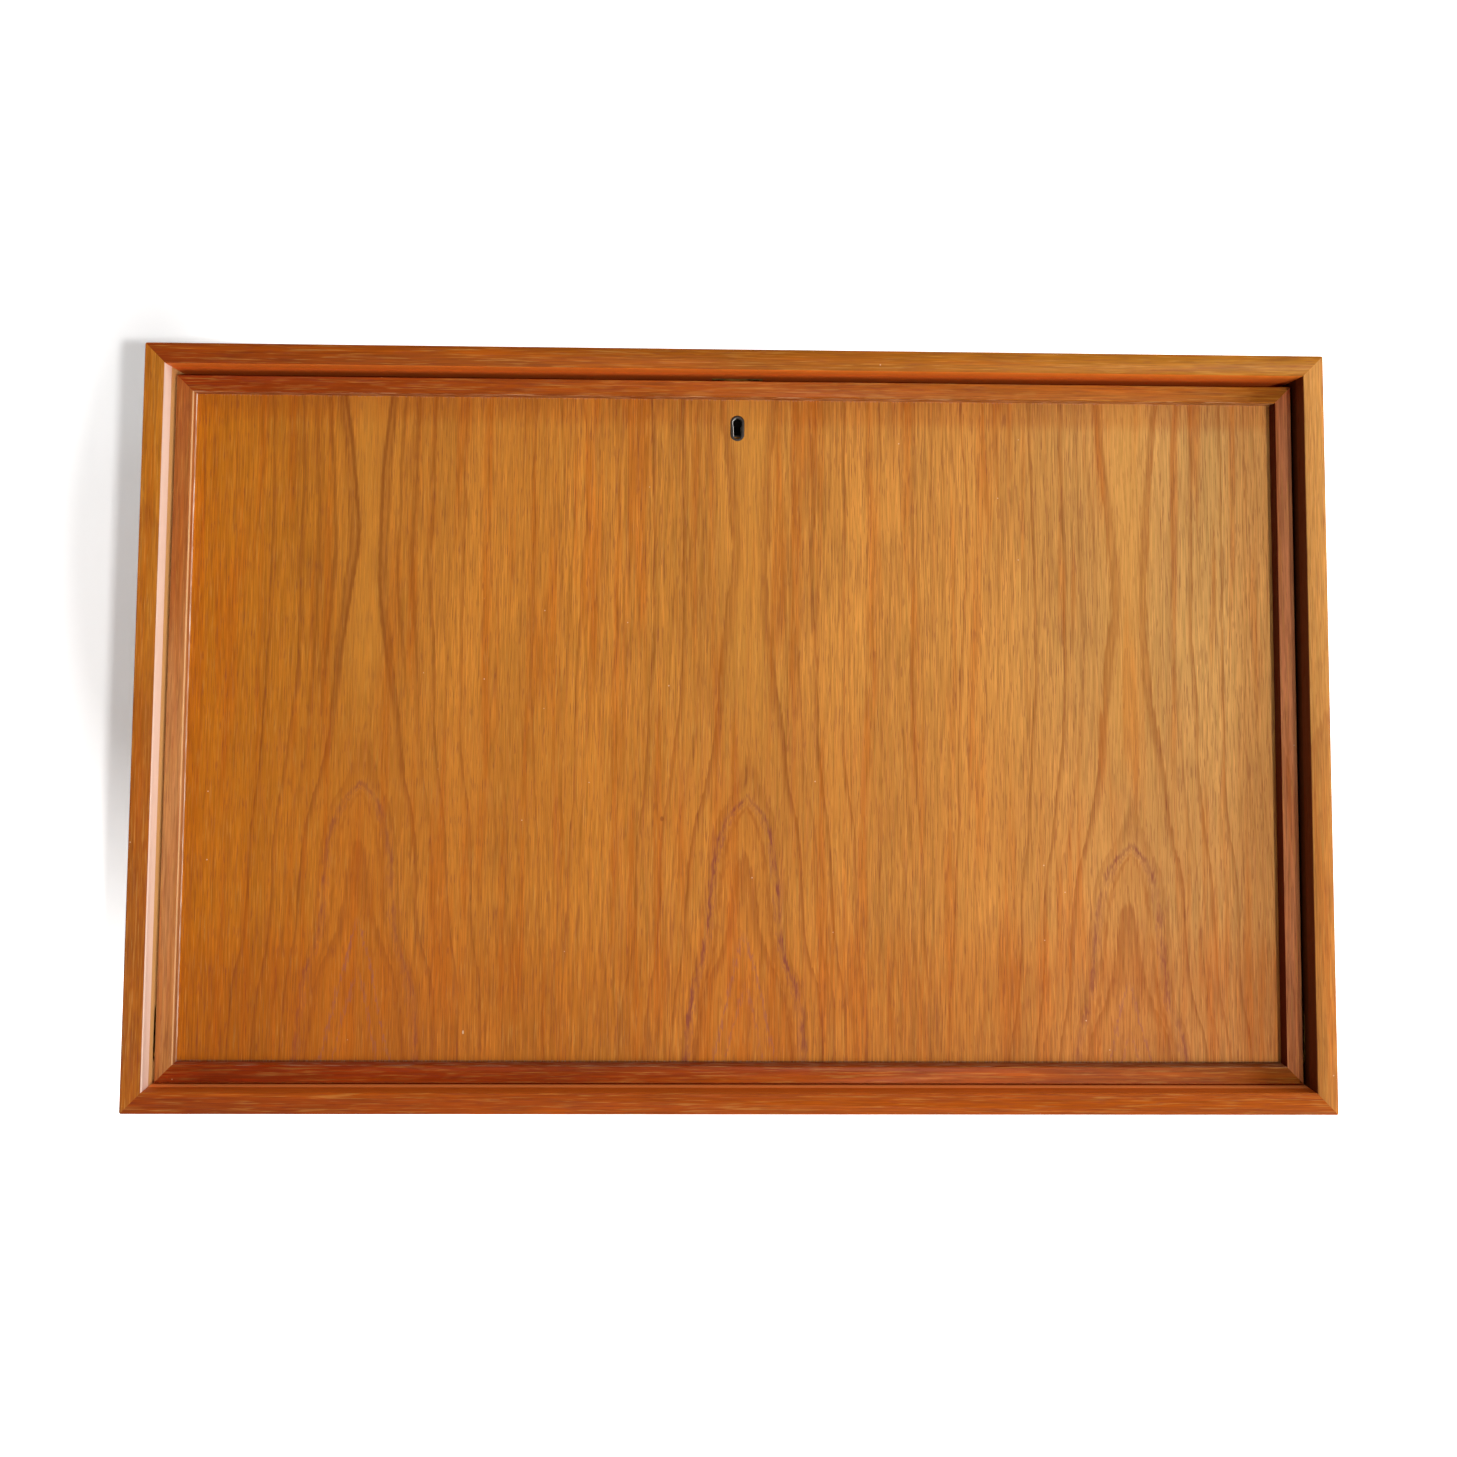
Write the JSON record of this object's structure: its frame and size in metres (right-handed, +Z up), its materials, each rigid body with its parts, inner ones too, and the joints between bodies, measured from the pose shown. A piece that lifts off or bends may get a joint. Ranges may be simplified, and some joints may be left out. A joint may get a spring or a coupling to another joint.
{
  "type": "wall-mounted desk",
  "caption": "Wall-hung teak writing desk: a mitred case with a recessed fall-front flap on pivot hinges and slotted stays, a lock, and a fitted interior.",
  "frame": {"origin": "middle of the four wall screws, on the wall plane", "axes": "+X to the right seen from the front, +Y into the wall, +Z up"},
  "size_m": [0.9, 0.32, 0.572],
  "materials": {
    "teak_veneer_board": "satin oiled teak veneer on board",
    "solid_teak": "satin oiled solid teak",
    "bed_veneer_board": "satin oiled teak veneer on board",
    "interior_board": "satin oiled teak-veneered thin board",
    "back_plywood": "teak-faced plywood",
    "pine_rail": "planed softwood",
    "polished_brass": "lightly tarnished brass",
    "blackened_steel": "darkened, worn bright on its rim",
    "lock_steel": "plain steel",
    "felt": "pressed green felt"
  },
  "bodies": {
    "case": {"back_panel": "back_plywood", "bed_front_rail": "pine_rail", "bed_nose": "solid_teak", "bed_rear_rail": "pine_rail", "case_bottom": "teak_veneer_board", "case_screws": "polished_brass", "case_side_left": "teak_veneer_board", "case_side_right": "teak_veneer_board", "case_top": "teak_veneer_board", "corner_splines": "pine_rail", "felt_buffers": "felt", "hanging_rail_bottom": "pine_rail", "hanging_rail_top": "pine_rail", "hinge_plate_left": "polished_brass", "hinge_plate_right": "polished_brass", "inner_side_left": "interior_board", "inner_side_right": "interior_board", "letter_divider_left": "interior_board", "letter_divider_right": "interior_board", "lipping_bottom": "solid_teak", "lipping_left": "solid_teak", "lipping_right": "solid_teak", "lipping_top": "solid_teak", "pigeonhole_divider_left": "interior_board", "pigeonhole_divider_right": "interior_board", "pigeonhole_shelf": "interior_board", "stay_stud_left": "polished_brass", "stay_stud_right": "polished_brass", "stop_rail": "solid_teak", "strike_plate": "polished_brass", "upper_divider": "interior_board", "upper_shelf": "interior_board", "writing_bed": "bed_veneer_board"},
    "flap": {"flap_panel": "teak_veneer_board", "flap_rim_top": "solid_teak", "flap_rim_bottom": "solid_teak", "flap_rim_left": "solid_teak", "flap_rim_right": "solid_teak", "keyhole_escutcheon": "blackened_steel", "lock_housing": "lock_steel", "lock_plate": "polished_brass", "lock_spring": "lock_steel", "hinge_leaf_left": "polished_brass", "hinge_leaf_right": "polished_brass", "stay_bracket_left": "polished_brass", "stay_bracket_right": "polished_brass", "flap_screws": "polished_brass"},
    "stay_left": {"stay_arm_left": "polished_brass"},
    "stay_right": {"stay_arm_right": "polished_brass"},
    "lock_bolt": {"lock_bolt": "lock_steel"}
  },
  "joints": [
    {"name": "flap_fall", "type": "hinge", "parent": "case", "child": "flap", "pos_m": [0, -0.2975, -0.249], "axis": [1, 0, 0], "range_deg": [0, 90]},
    {"name": "stay_left_swing", "type": "hinge", "parent": "flap", "child": "stay_left", "pos_m": [-0.429, -0.2665, -0.094], "axis": [1, 0, 0], "range_deg": [-45, 0]},
    {"name": "stay_right_swing", "type": "hinge", "parent": "flap", "child": "stay_right", "pos_m": [0.429, -0.2665, -0.094], "axis": [1, 0, 0], "range_deg": [-45, 0]},
    {"name": "bolt_slide", "type": "slide", "parent": "flap", "child": "lock_bolt", "axis": [0, 0, 1], "range_m": [0, 0.01]}
  ],
  "couplings": [
    {"joint": "stay_left_swing", "follows": "flap_fall", "ratio": -0.5},
    {"joint": "stay_right_swing", "follows": "flap_fall", "ratio": -0.5}
  ]
}
